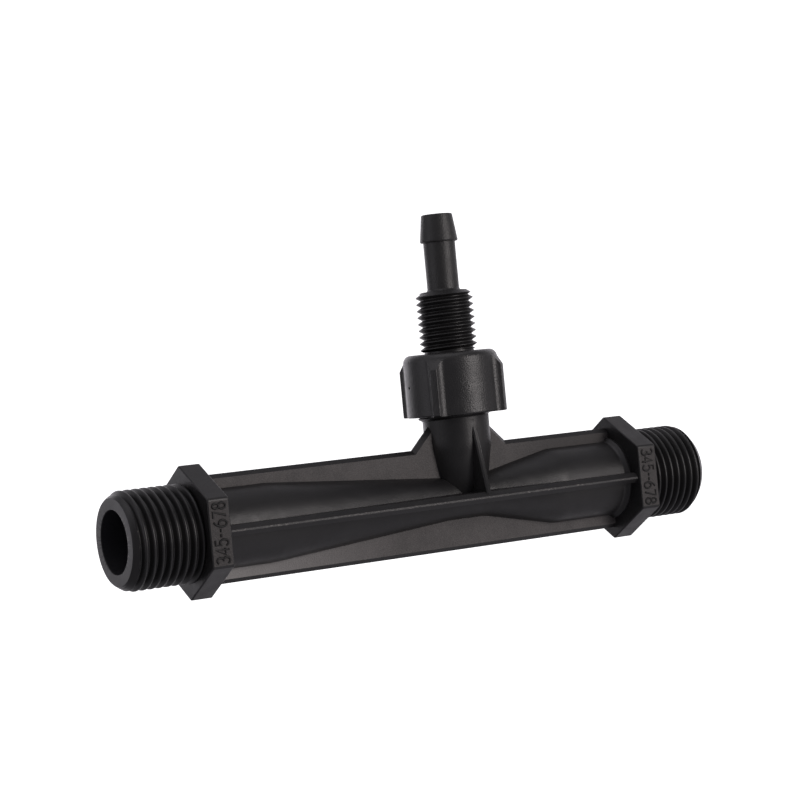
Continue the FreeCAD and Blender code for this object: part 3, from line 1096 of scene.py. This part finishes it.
def room_light():
    """The room as a sum of soft patches of light, each round its own direction."""
    world = bpy.data.worlds.new("Room")
    world.use_nodes = True
    tree = world.node_tree
    outward = add(tree, "ShaderNodeTexCoord").outputs["Generated"]
    total = ROOM_TINT
    for azimuth, elevation, reach, strength, tint in ROOM_PATCHES:
        sockets = {0: outward, 1: towards(azimuth, elevation)}
        near = add(tree, "ShaderNodeVectorMath", sockets, operation="DOT_PRODUCT").outputs["Value"]
        edge, core = (math.cos(math.radians(part * reach)) for part in (1.0, PATCH_CORE))
        sockets = {0: spread(tree, near, edge, core, to_high=strength), 1: tint, 2: total}
        sums = add(tree, "ShaderNodeVectorMath", sockets, operation="MULTIPLY_ADD")
        total = sums.outputs["Vector"]
    feed(tree, tree.nodes["Background"].inputs["Color"], total)
    return world


def front_softbox(settings):
    """A soft rectangular light that faces the stem."""
    data = bpy.data.lights.new("Front softbox", "AREA")
    data.shape = "RECTANGLE"
    data.size, data.size_y = settings.softbox_width, settings.softbox_height
    data.energy = settings.softbox_power
    data.color = settings.softbox_tint
    azimuth, elevation = settings.softbox_azimuth, settings.softbox_elevation
    away = towards(math.degrees(azimuth), math.degrees(elevation))
    light = bpy.data.objects.new("Front softbox", data)
    light.location = Vector((STEM_X, 0, settings.softbox_aim)) + away * settings.softbox_distance
    light.rotation_euler = away.to_track_quat("Z", "Y").to_euler()
    bpy.context.scene.collection.objects.link(light)


class INJECTOR_OT_studio(bpy.types.Operator):
    """Lay the pale floor, hang the lights and set up the camera"""

    bl_idname = "injector.studio"
    bl_label = "Studio"

    def execute(self, context):
        scene = context.scene
        settings = scene.studio
        angles = [TURN * k / FLOOR_SEGMENTS for k in range(FLOOR_SEGMENTS)]
        skin = bmesh.new()
        rings = [
            [Vector((r * math.cos(a), r * math.sin(a), z)) for a in angles]
            for r, z in floor_profile(settings)
        ]
        middle, _ = wind(skin, rings)
        skin.faces.new(middle)
        bmesh.ops.recalc_face_normals(skin, faces=skin.faces)
        for face in skin.faces:
            face.smooth = True
        mesh = bpy.data.meshes.new("floor")
        skin.to_mesh(mesh)
        skin.free()
        mesh.materials.append(lit_floor(settings))
        floor = bpy.data.objects.new("floor", mesh)
        floor.location = (STEM_X, 0, settings.floor_height)
        floor.visible_diffuse = False
        floor.visible_glossy = False
        scene.collection.objects.link(floor)

        front_softbox(settings)
        scene.world = room_light()

        data = bpy.data.cameras.new("Camera")
        data.lens = settings.lens
        data.sensor_width = 36
        data.clip_start, data.clip_end = 0.01, 20
        camera = bpy.data.objects.new("Camera", data)
        camera.location = settings.camera_place
        camera.rotation_euler = settings.camera_turn
        scene.collection.objects.link(camera)
        scene.camera = camera
        scene.view_settings.view_transform = "Standard"
        scene.view_settings.look = "None"
        return {"FINISHED"}


class INJECTOR_PT_panel(bpy.types.Panel):
    """Lists the sizes and colours, and the operators that use them"""

    bl_idname = "INJECTOR_PT_panel"
    bl_label = "Venturi injector"
    bl_space_type = "VIEW_3D"
    bl_region_type = "UI"
    bl_category = "Injector"

    def draw(self, context):
        for name, (group, label) in GROUPS.items():
            box = self.layout.box()
            box.label(text=label)
            for key in group.__annotations__:
                box.prop(getattr(context.scene, name), key)
        for operator in OPERATORS:
            self.layout.operator(operator.bl_idname)


GROUPS = {
    "pipe_thread": (PipeThreadSizes, "Pipe threads"),
    "port_thread": (PortThreadSizes, "Port and nut threads"),
    "nipple_thread": (NippleThreadSizes, "Nipple thread"),
    "flange_figures": (FlangeFigureSizes, "Flange figures"),
    "black_plastic": (BlackPlasticColours, "Plastics"),
    "nut_pit": (NutPitSizes, "Nut pit"),
    "studio": (StudioSettings, "Studio"),
}
OPERATORS = (
    INJECTOR_OT_body,
    INJECTOR_OT_figures,
    INJECTOR_OT_nipple,
    INJECTOR_OT_nut,
    INJECTOR_OT_valve_parts,
    INJECTOR_OT_studio,
)


def register():
    for name, (group, _) in GROUPS.items():
        bpy.utils.register_class(group)
        setattr(bpy.types.Scene, name, PointerProperty(type=group))
    for operator in OPERATORS:
        bpy.utils.register_class(operator)
    bpy.utils.register_class(INJECTOR_PT_panel)


def unregister():
    bpy.utils.unregister_class(INJECTOR_PT_panel)
    for operator in reversed(OPERATORS):
        bpy.utils.unregister_class(operator)
    for name, (group, _) in reversed(GROUPS.items()):
        delattr(bpy.types.Scene, name)
        bpy.utils.unregister_class(group)


def main():
    register()
    bpy.ops.injector.body()
    bpy.ops.injector.figures()
    bpy.ops.injector.nipple()
    bpy.ops.injector.nut()
    bpy.ops.injector.valve_parts()
    bpy.ops.injector.studio()


if __name__ == "__main__":
    main()
